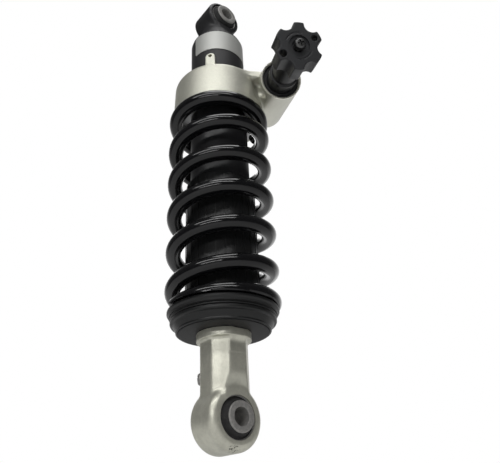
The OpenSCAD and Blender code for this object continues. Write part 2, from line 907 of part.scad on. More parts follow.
module fork() {
    edge = 4;
    collar_z = shoulder_z - collar_h;
    neck_h = fork_len - collar_h;
    neck_r = neck_af / 2 / cos(22.5);
    flare_h = 2.5;
    color("#a8a59c")
        difference() {
            union() {
                translate([0, 0, low_eye_z]) eye_barrel(fork_eye_r, fork_eye_w, edge);
                translate([0, 0, low_eye_z])
                    rotate([0, 0, 22.5]) cylinder(r = neck_r, h = neck_h + eps, $fn = 8);
                translate([0, 0, collar_z - flare_h])
                    cylinder(r1 = neck_af / 2, r2 = collar_r, h = flare_h + eps);
                translate([0, 0, collar_z]) cylinder(r = collar_r, h = collar_h);
                translate([0, 0, shoulder_z - eps]) cylinder(r = spigot_r, h = washer_z - shoulder_z + eps);
            }
            translate([0, 0, low_eye_z]) cylinder_y(low_rubber_r, fork_eye_w + 20);
            for (side = [-1, 1])
                translate([0, side * (fork_eye_w / 2 + 10), low_eye_z]) cylinder_y(fork_eye_r - 1, 20);
            translate([0, 0, rod_low_z]) cylinder(r = rod_r, h = fork_len);
            translate([0, 0, reb_at_z - reb_r]) cylinder(r = needle_bore_r, h = rod_low_z - reb_at_z + reb_r + 1);
            translate([0, 0, reb_at_z])
                rotate([0, 90, reb_dir])
                    translate([0, 0, reb_tip - air]) cylinder(r = reb_r + run_fit, h = 40);
        }
}

module lower_rubber() {
    color("#161616")
        translate([0, 0, low_eye_z]) bush_rubber(low_rubber_r, low_sleeve_r + run_fit, fork_eye_w);
}

module lower_sleeve() {
    color("#a9aaa8") translate([0, 0, low_eye_z]) bush_sleeve(low_sleeve_r, low_sleeve_len);
}

module rebound_screw() {
    face = neck_af / 2;
    color("#8a8c8e")
        translate([0, 0, reb_at_z])
            rotate([0, 90, reb_dir])
                difference() {
                    union() {
                        translate([0, 0, reb_tip]) cylinder(r = reb_r, h = face + air - reb_tip + eps);
                        translate([0, 0, face + air])
                            cylinder(r1 = reb_head_r, r2 = reb_head_r - 1, h = reb_head_h);
                    }
                    translate([-reb_head_r - 1, -0.6, face + air + reb_head_h - 1.2])
                        cube([reb_head_r * 2 + 2, 1.2, 2]);
                }
}

module metering_needle() {
    color("#c2c4c6")
        translate([0, 0, needle_z]) cylinder(r = needle_r, h = needle_top_z - needle_z);
}

top_cap();
upper_rubber();
body_tube();
plain_plate();
casting();
adjuster_nut();
rod_guide();
rod_wiper();
rod_seal();
guide_ring();
guide_clip();
coil_spring();
upper_sleeve();
preload_piston();
preload_outer_ring();
preload_inner_ring();
upper_seat();
hand_wheel();
wheel_screw();
adjuster_spindle();
adjuster_piston();
adjuster_ring();
floating_piston();
floating_ring();
floating_screw();
rod();
main_piston();
piston_band();
rebound_shims();
compression_shims();
piston_nut();
topout_spacer();
bump_stop();
bump_washer();
dust_cover();
spring_pad();
lower_seat();
seat_plate();
fork();
lower_rubber();
rebound_screw();
metering_needle();
lower_sleeve();
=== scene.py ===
"""Looks of a rear shock absorber: its cast, turned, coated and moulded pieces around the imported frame."""

import json
import math

import bmesh
import bpy
import numpy as np
from mathutils import Matrix, Vector


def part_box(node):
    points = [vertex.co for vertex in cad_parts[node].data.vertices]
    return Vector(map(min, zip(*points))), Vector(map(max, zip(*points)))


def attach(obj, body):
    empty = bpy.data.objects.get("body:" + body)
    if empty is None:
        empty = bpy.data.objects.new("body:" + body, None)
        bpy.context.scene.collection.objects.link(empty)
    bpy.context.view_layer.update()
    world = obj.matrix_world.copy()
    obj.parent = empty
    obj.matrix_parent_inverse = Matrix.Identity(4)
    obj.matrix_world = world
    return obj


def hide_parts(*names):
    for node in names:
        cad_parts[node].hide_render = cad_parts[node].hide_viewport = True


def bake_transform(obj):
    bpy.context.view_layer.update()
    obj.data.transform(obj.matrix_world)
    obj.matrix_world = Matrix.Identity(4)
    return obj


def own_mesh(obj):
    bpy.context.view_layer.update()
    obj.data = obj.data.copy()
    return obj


bl_info = {
    "name": "Rear Shock Absorber",
    "version": (1, 0, 0),
    "blender": (4, 5, 0),
    "location": "View3D > Sidebar > Shock",
    "description": "Builds the looks of a rear shock absorber around its packed frame",
    "category": "Object",
}

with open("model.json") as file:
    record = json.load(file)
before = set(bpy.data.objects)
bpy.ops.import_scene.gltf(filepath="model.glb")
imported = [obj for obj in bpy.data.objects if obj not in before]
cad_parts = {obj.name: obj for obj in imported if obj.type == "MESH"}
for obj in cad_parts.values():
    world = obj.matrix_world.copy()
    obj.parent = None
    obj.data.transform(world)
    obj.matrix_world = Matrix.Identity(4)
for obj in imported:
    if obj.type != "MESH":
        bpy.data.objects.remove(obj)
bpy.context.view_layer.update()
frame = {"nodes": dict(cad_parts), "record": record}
MM = 0.001
MADE = {}


def cad_z(node, end):
    """Height of a CAD node's lowest (0) or highest (1) point, in millimetres."""
    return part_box(node)[end].z / MM


def around(angle, radius=1.0, height=0.0):
    """A point at an angle round the Z axis."""
    return (radius * math.cos(angle), radius * math.sin(angle), height)


def crosswise(axis):
    """The level direction a quarter turn on from a level axis."""
    return Vector((-axis.y, axis.x, 0))


def up(height):
    return Vector((0, 0, height))


# Heights, in millimetres like every size below
LOW_EYE = (cad_z("lower_sleeve", 0) + cad_z("lower_sleeve", 1)) / 2
SHOULDER = cad_z("seat_plate", 0)
PAD = cad_z("spring_pad", 0)
SPRING_LOW = cad_z("spring_pad", 1)
SPRING_TOP = cad_z("upper_seat", 0)
CAST_TOP = SPRING_TOP + 34
COVER_TOP = cad_z("dust_cover", 1)
TUBE_LOW = cad_z("body_tube", 0)
RIM = cad_z("body_tube", 1) + 3

# Radii that more than one piece shares
TUBE_R, TUBE_BORE = 25, 22.5
UPPER_EYE_BORE, LOWER_EYE_BORE = 13.6, 14.4
NUT_R, SPINDLE_R = 15.95, 4.05
COVER_R, SEAT_PLATE_R = 28.3, 33.3

# The adjuster's own axes: down, sideways and out of its mouth
SLOPE = math.radians(21.1)
FACING = math.radians(-119.5)
BESIDE, AHEAD, ABOVE = 50.3, 42.4, 16
OUT = Vector(around(FACING, math.cos(SLOPE), -math.sin(SLOPE)))
SIDE = crosswise(Vector(around(FACING)))
MOUTH = SIDE * BESIDE + Vector(around(FACING)) * AHEAD + up(SPRING_TOP + ABOVE)
DOWN = SIDE.cross(OUT)
ADJUSTER = Matrix((DOWN, SIDE, OUT)).transposed().to_4x4()
ADJUSTER.translation = MOUTH

# The hand wheel's two faces, in front of the mouth
WHEEL_LOW, WHEEL_HIGH = 42.4, 61.4


# Settings


def number(name, description, default, **more):
    return bpy.props.FloatProperty(name=name, description=description, default=default, **more)


def length(name, description, default):
    """A length property, with its default in millimetres."""
    return number(name, description, default * MM, unit="LENGTH", precision=5)


def colour(name, description, default):
    return bpy.props.FloatVectorProperty(
        name=name, description=description, default=default, subtype="COLOR", size=3, min=0, max=1
    )


class ShockSizes(bpy.types.PropertyGroup):
    """Sizes of the dressed pieces"""

    spring_radius: length("Spring radius", "Outer radius of the coil spring", 44)
    wire: length("Wire", "Diameter of the spring's wire", 12.4)
    cast_edge: length("Cast edge", "Rounding of the casting's edges", 4.2)
    cast_blend: length("Cast blend", "Radius where two cast forms meet", 3)
    fork_edge: length("Fork edge", "Rounding of the fork's eye", 5.4)
    lobe_edge: length("Lobe edge", "Rounding of the hand wheel's edges", 0.8)
    cover_ribs: bpy.props.IntProperty(
        name="Cover ribs", description="Ribs round the dust cover", default=24, min=3
    )


class ShockColours(bpy.types.PropertyGroup):
    """Colours of the finishes"""

    casting: colour("Casting", "Silver coat of the adjuster casting", (0.50, 0.497, 0.43))
    fork: colour("Fork", "Bare alloy of the lower fork", (0.52, 0.515, 0.44))
    body: colour("Body", "Black coat of the damper body", (0.012, 0.012, 0.013))
    spring: colour("Spring", "Gloss coat of the spring", (0.003, 0.003, 0.0035))
    moulded: colour("Moulded", "Black moulded plastic", (0.0055, 0.0058, 0.006))
    wheel: colour("Wheel", "Black plastic of the hand wheel", (0.016, 0.0165, 0.018))
    rubber: colour("Rubber", "Rubber of the bushes and rings", (0.006, 0.006, 0.006))
    plate: colour("Plate", "Plain plate on the body", (0.40, 0.405, 0.385))
    zinc: colour("Zinc", "Plating of the inner sleeves", (0.22, 0.218, 0.21))


class ShockStudio(bpy.types.PropertyGroup):
    """Floor, lamps and background"""

    key: number("Key", "Power of the lamps, before each lamp's own share", 6.0, unit="POWER")
    fill: number("Fill", "Strength of the even light all round", 0.34)
    dark: number("Dark", "How light the room in front looks in metal", 0.09)
    floor: colour("Floor", "Colour of the floor", (0.86, 0.86, 0.86))


# Nodes


class Value:
    """A socket's value in a node tree. Arithmetic on it adds Math nodes."""

    def __init__(self, nodes, link):
        self.nodes = nodes
        self.link = link

    def maths(self, operation, *others):
        return self.nodes.maths(operation, self, *others)

    def __add__(self, other):
        return self.maths("ADD", other)

    def __sub__(self, other):
        return self.maths("SUBTRACT", other)

    def __rsub__(self, other):
        return self.nodes.maths("SUBTRACT", other, self)

    def __mul__(self, other):
        return self.maths("MULTIPLY", other)

    __radd__ = __add__
    __rmul__ = __mul__


class Nodes:
    """The nodes of one tree, all of them added by node()."""

    def __init__(self, tree):
        self.tree = tree
        tree.nodes.clear()

    def node(self, kind, settings, sockets, out=0):
        """Adds a node: its settings first, then its sockets' values or links.

        Gives the chosen output, or where out is None all of them by name."""
        made = self.tree.nodes.new(kind)
        for name, setting in settings.items():
            setattr(made, name, setting)
        for name, value in sockets.items():
            if isinstance(value, Value):
                self.tree.links.new(value.link, made.inputs[name])
            else:
                made.inputs[name].default_value = value
        if out is None:
            return {output.name: Value(self, output) for output in made.outputs}
        return Value(self, made.outputs[out]) if len(made.outputs) else None

    def maths(self, operation, *values):
        return self.node("ShaderNodeMath", {"operation": operation}, dict(enumerate(values)))

    def vector(self, operation, *values, out=0):
        """A Vector Math node. Its output "Value" holds a dot product or a distance."""
        return self.node("ShaderNodeVectorMath", {"operation": operation}, dict(enumerate(values)), out)

    def between(self, value, low, high):
        """0 below low, 1 above high and smooth in between."""
        return self.node(
            "ShaderNodeMapRange",
            {"interpolation_type": "SMOOTHSTEP"},
            {"Value": value, "From Min": low, "From Max": high},
        )


class Paint(Nodes):
    """One material and its node tree."""

    def __init__(self, name):
        self.material = bpy.data.materials.new(name)
        self.material.use_nodes = True
        super().__init__(self.material.node_tree)
        # Object coordinates, in millimetres
        place = self.node("ShaderNodeTexCoord", {}, {}, "Object")
        self.where = self.node("ShaderNodeVectorMath", {"operation": "SCALE"}, {0: place, "Scale": 1 / MM})

    def noise(self, scale, detail, rough=0.55, squeeze=None):
        where = self.where
        if squeeze:
            where = self.node("ShaderNodeMapping", {}, {"Vector": where, "Scale": squeeze})
        sockets = {"Vector": where, "Scale": scale, "Detail": detail, "Roughness": rough}
        return self.node("ShaderNodeTexNoise", {}, sockets)

    def mix(self, share, first, second):
        """One colour where share is 0, the other where it is 1."""
        sockets = {0: share, 6: (*first, 1), 7: (*second, 1)}
        return self.node("ShaderNodeMix", {"data_type": "RGBA"}, sockets, 2)

    def tone(self, base, value):
        """base made darker or lighter by value, where 1 leaves it as it is."""
        grey = self.node("ShaderNodeCombineXYZ", {}, {0: value, 1: value, 2: value})
        return self.vector("MULTIPLY", grey, tuple(base))

    def bump(self, height, strength, depth):
        sockets = {"Height": height, "Strength": strength, "Distance": depth * MM}
        return self.node("ShaderNodeBump", {}, sockets)

    def finish(self, **sockets):
        """The material, with the sockets of its one shader given by name."""
        named = {name.replace("_", " ").title(): value for name, value in sockets.items()}
        named = {name.replace("Ior", "IOR"): value for name, value in named.items()}
        shader = self.node("ShaderNodeBsdfPrincipled", {}, named)
        self.node("ShaderNodeOutputMaterial", {}, {"Surface": shader})
        return self.material


def geometry_tree(name, **inputs):
    """A geometry tree with named inputs of each kind: its nodes and the inputs' values."""
    tree = bpy.data.node_groups.new(name, "GeometryNodeTree")
    for kind, labels in inputs.items():
        for label in labels:
            tree.interface.new_socket(label, in_out="INPUT", socket_type="NodeSocket" + kind)
    tree.interface.new_socket("Piece", in_out="OUTPUT", socket_type="NodeSocketGeometry")
    nodes = Nodes(tree)
    return nodes, nodes.node("NodeGroupInput", {}, {}, None)


def close_tree(nodes, made, finish):
    """Ends a geometry tree with real geometry in its finish."""
    real = nodes.node("GeometryNodeRealizeInstances", {}, {0: made})
    painted = nodes.node("GeometryNodeSetMaterial", {}, {"Geometry": real, "Material": finish})
    nodes.node("NodeGroupOutput", {}, {0: painted})
    return nodes.tree


# Finishes


def cast_silver(base):
    """Fine cast skin under a satin silver coat, brighter where the mouth was machined."""
    p = Paint("casting silver")
    skin = p.noise(1.5, 6, 0.6)
    cloud = p.noise(0.06, 3)
    grit = p.noise(0.5, 5, 0.7)
    cells = p.node("ShaderNodeTexVoronoi", {}, {"Vector": p.where, "Scale": 0.55}, "Distance")
    pits = p.between(cells, 0.02, 0.16)
    face = OUT.dot(MOUTH)
    out = p.vector("DOT_PRODUCT", p.where, tuple(OUT), out="Value")
    away = p.vector("DISTANCE", p.where, tuple(MOUTH), out="Value")
    cut = p.between(out, face - 1.15, face - 1.0) * (1 - p.between(away, 19, 20))
    return p.finish(
        base_color=p.tone(base, 0.72 + 0.06 * skin + 0.16 * cloud + 0.34 * grit + 0.6 * cut),
        metallic=0.72,
        roughness=0.30 + 0.10 * skin + 0.12 * grit - 0.12 * cut,
        normal=p.bump(skin + 0.3 * pits + 1.4 * grit, 0.45, 0.16),
    )


def fork_alloy(base):
    """Bare cast alloy with a rough skin, stains and one scuff under the eye."""
    p = Paint("fork alloy")
    skin = p.noise(0.55, 7, 0.66)
    stain = p.between(p.noise(0.09, 4), 0.36, 0.66)
    streak = p.noise(1.6, 4, squeeze=(1, 1, 0.08))
    scuff_at = (-3.5, -12, LOW_EYE - 19.5)
    away = p.vector("DISTANCE", p.where, scuff_at, out="Value")
    scuff = p.between(p.noise(0.75, 3, 0.6), 0.56, 0.62) * (1 - p.between(away, 3, 5))
    return p.finish(
        base_color=p.tone(base, (0.66 + 0.34 * skin + 0.16 * stain + 0.10 * streak) * (1 - 0.85 * scuff)),
        metallic=0.68,
        roughness=0.34 + 0.14 * skin - 0.05 * stain + 0.3 * scuff,
        normal=p.bump(skin + 0.4 * streak - 3 * scuff, 0.55, 0.22),
    )


def coated(name, base, rough, coat, speckle, shine):
    """Smooth paint over metal, with a faint waviness and dust."""
    p = Paint(name)
    wave = p.noise(0.35, 2)
    fine = p.noise(3.2, 5)
    dust = p.between(p.noise(0.9, 8, 0.7), 0.56, 0.80)
    return p.finish(
        base_color=p.mix(dust * speckle, base, (0.20, 0.20, 0.19)),
        roughness=rough + 0.06 * wave + 0.05 * dust,
        specular_ior_level=shine,
        coat_weight=coat,
        coat_roughness=0.13,
        coat_ior=1.38,
        normal=p.bump(wave + 0.12 * fine, 0.10, 0.25),
    )


def moulded(name, base, rough, grain):
    """Moulded plastic with a fine spark-worn grain."""
    p = Paint(name)
    fine = p.noise(2.6, 6, 0.7)
    rubbed = p.between(p.noise(0.12, 3), 0.45, 0.75)
    return p.finish(
        base_color=p.tone(base, 0.8 + 0.3 * fine + 0.25 * rubbed),
        roughness=rough + 0.14 * fine - 0.06 * rubbed,
        specular_ior_level=0.35,
        normal=p.bump(fine, grain, 0.10),
    )


def rubber(base):
    """Moulded rubber, dull, with a faint bloom."""
    p = Paint("bush rubber")
    fine = p.noise(1.8, 6, 0.7)
    bloom = p.between(p.noise(0.2, 5), 0.45, 0.8)
    return p.finish(
        base_color=p.mix(bloom * 0.3, base, (0.05, 0.05, 0.048)),
        roughness=0.62 + 0.18 * fine,
        normal=p.bump(fine, 0.3, 0.12),
    )


def turned(name, base, rough, pitch=0.35):
    """Turned or drawn metal: fine rings along Z and a faint smear."""
    p = Paint(name)
    height = p.node("ShaderNodeSeparateXYZ", {}, {0: p.where}, "Z")
    rings = (height * (2 * math.pi / pitch)).maths("SINE")
    fine = p.noise(1.2, 4, squeeze=(0.3, 0.3, 4.0))
    smear = p.noise(0.15, 5)
    return p.finish(
        base_color=p.tone(base, 0.86 + 0.12 * fine + 0.12 * smear),
        metallic=1.0,
        roughness=rough + 0.10 * smear + 0.05 * fine,
        normal=p.bump(rings * 0.5 + fine, 0.08, 0.05),
    )


def plated(base):
    """Zinc plating: blotchy, faintly warm, with fine drag lines."""
    p = Paint("zinc plating")
    blotch = p.noise(0.45, 6, 0.65)
    drag = p.noise(1.6, 4, squeeze=(0.4, 3.0, 0.4))
    return p.finish(
        base_color=p.mix(p.between(blotch, 0.4, 0.7), base, (0.30, 0.288, 0.27)),
        metallic=0.5,
        roughness=0.40 + 0.16 * blotch,
        normal=p.bump(drag + blotch, 0.12, 0.08),
    )


def plain_foil(base):
    """Thin silver foil with a fine brushed grain and a soft satin top coat."""
    p = Paint("plain foil")
    grain = p.noise(1.5, 4, squeeze=(0.5, 0.5, 5.0))
    cloud = p.noise(0.1, 4)
    return p.finish(
        base_color=p.tone(base, 0.92 + 0.08 * grain + 0.06 * cloud),
        metallic=0.45,
        roughness=0.36 + 0.10 * grain,
        coat_weight=0.3,
        coat_roughness=0.25,
        normal=p.bump(grain, 0.06, 0.04),
    )


def make_finishes(colours):
    """Every finish, under the names that the pieces and the record's slots use."""
    MADE.update(
        cast_light=cast_silver(colours.casting),
        fork_alloy=fork_alloy(colours.fork),
        body_black=coated("body coat", colours.body, 0.42, 0.06, 0.06, 0.3),
        spring_black=coated("spring coat", colours.spring, 0.14, 1.0, 0.03, 0.05),
        steel_dark=coated("seat plate coat", (0.006, 0.006, 0.0065), 0.5, 0.0, 0.06, 0.25),
        plastic_black=moulded("moulded black", colours.moulded, 0.34, 0.22),
        wheel_black=moulded("wheel black", colours.wheel, 0.42, 0.26),
        rubber_black=rubber(colours.rubber),
        plate_silver=plain_foil(colours.plate),
        zinc_steel=plated(colours.zinc),
        turned_alloy=turned("turned alloy", (0.10, 0.10, 0.105), 0.4),
        steel=turned("bare steel", (0.42, 0.42, 0.42), 0.32),
        screw_dark=turned("dark screw", (0.10, 0.10, 0.10), 0.34),
        rod_chrome=turned("hard chrome", (0.70, 0.70, 0.71), 0.08, 0.2),
    )


# Shapes


def linked(name, data):
    """A new object in the scene."""
    made = bpy.data.objects.new(name, data)
    bpy.context.scene.collection.objects.link(made)
    return made


def new_piece(name, points, faces, finish):
    """A mesh object from points in millimetres, at the origin, with its finish."""
    mesh = bpy.data.meshes.new(name)
    mesh.from_pydata((np.asarray(points, float) * MM).tolist(), [], faces)
    mesh.validate()
    mesh.update()
    mesh.materials.append(MADE[finish])
    return linked(name, mesh)


def dress(piece, body, finish, *nodes, sharp=38):
    """Shades a piece, with its edges sharp above an angle, hides the CAD nodes it stands for and attaches it
    to its body. The finish is not used.
    """
    piece.data.shade_smooth()
    piece.data.set_sharp_from_angle(angle=math.radians(sharp))
    if nodes:
        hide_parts(*nodes)
    if body:
        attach(piece, body)


def moved_points(points, matrix):
    turn = np.array(matrix.to_3x3(), float)
    return np.asarray(points, float) @ turn.T + np.array(matrix.translation, float)


def aimed(direction, place):
    """The matrix that turns Z to a direction and brings the origin to a place."""
    turn = direction.to_track_quat("Z", "Y").to_matrix().to_4x4()
    turn.translation = place
    return turn


def revolved(outline, segments):
    """Points and faces of an outline (radius, height) turned about Z. Radii of 0 close at the axis."""
    points, rows = [], []
    for radius, height in outline:
        if radius < 1e-6:
            rows.append([len(points)] * segments)
            points.append((0, 0, height))
            continue
        rows.append(list(range(len(points), len(points) + segments)))
        points += [around(2 * math.pi * i / segments, radius, height) for i in range(segments)]
    faces = []
    for low, high in zip(rows, rows[1:] + rows[:1]):
        if low is high or (low[0] == low[1] and high[0] == high[1]):
            continue
        for i in range(segments):
            k = (i + 1) % segments
            ring = [low[i], low[k], high[k], high[i]]
            ring = [v for n, v in enumerate(ring) if v != ring[n - 1]]
            if len(ring) > 2:
                faces.append(ring)
    return points, faces


def rounded(outline, radius):
    """The outline with its corners rounded. Points may carry a radius of their own as a third number."""
    made, steps = [], 4
    for i, corner in enumerate(outline):
        r = corner[2] if len(corner) > 2 else radius
        here = Vector(corner[:2])
        before = Vector(outline[i - 1][:2]) - here
        after = Vector(outline[(i + 1) % len(outline)][:2]) - here
        turn = before.angle(after)
        back = 0
        if r > 0 and corner[0] > 1e-6 and turn < math.pi - 0.02:
            back = min(min(before.length, after.length) * 0.48, r / math.tan(turn / 2))
        if back < 1e-4:
            made.append(tuple(here))
            continue
        first, last = here + before.normalized() * back, here + after.normalized() * back
        for k in range(steps + 1):
            t = k / steps
            made.append(tuple(first * (1 - t) ** 2 + here * 2 * t * (1 - t) + last * t**2))
    return made


def raised(outline, height):
    """The outline with its heights counted from another height."""
    return [(radius, height + own, *corner) for radius, own, *corner in outline]


def both_ends(outline):
    """An outline listed up to its middle height, 0, and its mirror image above."""
    return outline + [(radius, -height, *corner) for radius, height, *corner in reversed(outline)]


def turned_piece(name, outline, finish, edge, body, *nodes, matrix=Matrix(), segments=128, cuts=()):
    """A closed turned piece, less its cuts, dressed for its body."""
    points, faces = revolved(rounded(outline, edge), segments)
    piece = new_piece(name, moved_points(points, matrix), faces, finish)
    outward(piece)
    cut_away(piece, cuts)
    dress(piece, body, finish, *nodes, sharp=35 if cuts else 32)


def outward(piece):
    """Merges doubles and turns every face outwards."""
    work = bmesh.new()
    work.from_mesh(piece.data)
    bmesh.ops.remove_doubles(work, verts=work.verts, dist=1e-7)
    bmesh.ops.recalc_face_normals(work, faces=work.faces)
    if work.calc_volume(signed=True) < 0:
        bmesh.ops.reverse_faces(work, faces=work.faces)
    work.to_mesh(piece.data)
    work.free()
    piece.data.update()


def shown_mesh(piece):
    """A new mesh of what the piece's modifiers show."""
    graph = bpy.context.evaluated_depsgraph_get()
    return bpy.data.meshes.new_from_object(piece.evaluated_get(graph))


def cut_away(piece, tools):
    """Cuts the tools out of the piece and removes them."""
    for tool in tools:
        cutter = piece.modifiers.new("cut", "BOOLEAN")
        cutter.object = tool
        cutter.operation = "DIFFERENCE"
        cutter.solver = "EXACT"
        mesh = shown_mesh(piece)
        piece.modifiers.clear()
        piece.data = mesh
        bpy.data.objects.remove(tool)


def turned_tool(name, outline, matrix, segments=128):
    """A turned shape to cut with."""
    points, faces = revolved(outline, segments)
    tool = new_piece(name, moved_points(points, matrix), faces, "steel")
    outward(tool)
    return tool


def bar(name, start, end, radius, segments=96):
    """A round bar between two points, to cut with."""
    line = Vector(end) - Vector(start)
    outline = [(0, 0), (radius, 0), (radius, line.length), (0, line.length)]
    return turned_tool(name, outline, aimed(line, start), segments)


def upright(name, low, high, radius):
    """A round bar on the damper's axis, to cut with."""
    return bar(name, (0, 0, low), (0, 0, high), radius)


def ahead(distance):
    """A point on the adjuster's axis, in front of its mouth."""
    return MOUTH + OUT * distance


def ahead_bar(name, low, high, radius, segments=96):
    """A round bar on the adjuster's axis, to cut with."""
    return bar(name, ahead(low), ahead(high), radius, segments)


def box_tool(name, size, angle, height, matrix):
    """A box to cut with, turned about the matrix's Z axis at a height along it."""
    half = Vector(size) / 2
    turn = Matrix.Rotation(angle, 4, "Z")
    turn.translation = up(height)
    signs = [(x, y, z) for x in (-1, 1) for y in (-1, 1) for z in (-1, 1)]
    points = [(x * half.x, y * half.y, z * half.z) for x, y, z in signs]
    faces = [(0, 1, 3, 2), (4, 6, 7, 5), (0, 4, 5, 1), (2, 3, 7, 6), (0, 2, 6, 4), (1, 5, 7, 3)]
    tool = new_piece(name, moved_points(points, matrix @ turn), faces, "steel")
    outward(tool)
    return tool


# Distance fields: below zero inside the metal


def edged(first, second, edge=0.0):
    """Where both fields are below zero, with the edge between them rounded."""
    outside = np.hypot(np.maximum(first, 0), np.maximum(second, 0))
    return np.minimum(np.maximum(first, second), 0) + outside - edge


def round_bar(points, start, end, radius, edge=0.0):
    start, end = np.array(start, float), np.array(end, float)
    line = end - start
    span = np.linalg.norm(line)
    line = line / span
    off = points - start
    along = off @ line
    across = np.linalg.norm(off - along[:, None] * line, axis=1) - (radius - edge)
    return edged(across, np.abs(along - span / 2) - (span / 2 - edge), edge)


def block(points, centre, level, half, edge):
    """A box with one of its sides along a level axis."""
    off = points - np.array(centre, float)
    axes = (level, crosswise(level), (0, 0, 1))
    local = np.stack([off @ np.array(axis, float) for axis in axes], axis=1)
    past = np.abs(local) - (np.array(half, float) - edge)
    outside = np.linalg.norm(np.maximum(past, 0), axis=1)
    return np.minimum(past.max(axis=1), 0) + outside - edge


def joined(first, second, blend):
    share = np.clip(0.5 + 0.5 * (second - first) / blend, 0, 1)
    return second * (1 - share) + first * share - blend * share * (1 - share)


def common(first, second, blend):
    return -joined(-first, -second, blend)


def less(first, second, blend):
    return common(first, -second, blend)


def surface(name, field, low, high, step, finish):
    """A closed mesh of the surface where the field is zero, between two corners."""
    low, high = np.array(low, float), np.array(high, float)
    counts = np.ceil((high - low) / step).astype(int) + 1
    lines = [low[i] + step * np.arange(counts[i]) for i in range(3)]
    grid = np.stack(np.meshgrid(*lines, indexing="ij"), axis=-1).reshape(-1, 3)
    values = np.concatenate([field(part) for part in np.array_split(grid, 16)]).reshape(counts)
    inside = values < 0
    corner = [(a, b, c) for a in (0, 1) for b in (0, 1) for c in (0, 1)]
    shape = tuple(counts - 1)

    def at(offset):
        return inside[tuple(slice(o, o + n) for o, n in zip(offset, shape))]

    # One point in every cell that the surface crosses, at the mean of the crossings on its edges
    total = sum(at(c).astype(int) for c in corner)
    active = np.argwhere((total > 0) & (total < 8))
    index = -np.ones(shape, int)
    index[tuple(active.T)] = np.arange(len(active))
    place, hits = np.zeros((len(active), 3)), np.zeros(len(active))
    for a in corner:
        for axis in range(3):
            if a[axis]:
                continue
            b = tuple(v + (i == axis) for i, v in enumerate(a))
            first = values[tuple((active + a).T)]
            second = values[tuple((active + b).T)]
            crossed = (first < 0) != (second < 0)
            share = np.where(crossed, first / np.where(crossed, first - second, 1), 0)
            spot = np.array(a, float) + np.eye(3)[axis] * share[:, None]
            place += spot * crossed[:, None]
            hits += crossed
    points = low + (active + place / hits[:, None]) * step

    # The points settle on the surface along the field's slope
    probe, rounds = 0.02, 3
    for _ in range(rounds):
        slopes = [(field(points + d) - field(points - d)) / (2 * probe) for d in np.eye(3) * probe]
        slope = np.stack(slopes, axis=1)
        size = np.maximum((slope**2).sum(axis=1), 0.25)
        points = points - slope * (field(points) / size)[:, None]

    # One face round every edge of the grid that the surface crosses
    faces = []
    for axis in range(3):
        u, v = [(1, 2), (2, 0), (0, 1)][axis]
        edges = np.argwhere(inside != np.roll(inside, -1, axis=axis))
        keep = (edges[:, axis] < counts[axis] - 1) & (edges[:, u] > 0) & (edges[:, v] > 0)
        keep &= (edges[:, u] < counts[u] - 1) & (edges[:, v] < counts[v] - 1)
        edges = edges[keep]
        unit_u, unit_v = np.eye(3, dtype=int)[u], np.eye(3, dtype=int)[v]
        ring = [edges - unit_u - unit_v, edges - unit_v, edges, edges - unit_u]
        quads = np.stack([index[tuple(cell.T)] for cell in ring], axis=1)
        leaving = inside[tuple(edges.T)]
        faces.append(np.where(leaving[:, None], quads, quads[:, ::-1]))
    return new_piece(name, points, np.concatenate(faces).tolist(), finish)


def eye_field(points, height, radius, width, edge):
    return round_bar(points, (0, -width / 2, height), (0, width / 2, height), radius, edge)


# Pieces


class ShockPiece:
    """Shared by the operators: their options and the sizes."""

    bl_options = {"REGISTER", "UNDO"}

    @property
    def sizes(self):
        return bpy.context.scene.shock_sizes


class SHOCK_OT_finishes(ShockPiece, bpy.types.Operator):
    """Make every finish and lay it on the frame's own nodes"""

    bl_idname = "shock.finishes"
    bl_label = "Finishes"

    def execute(self, context):
        make_finishes(context.scene.shock_colours)
        slots = {row["node"]: row["material_slot"] for row in frame["record"]["subparts"]}
        for name, node in frame["nodes"].items():
            node.data.materials.clear()
            node.data.materials.append(MADE[slots[name]])
        return {"FINISHED"}


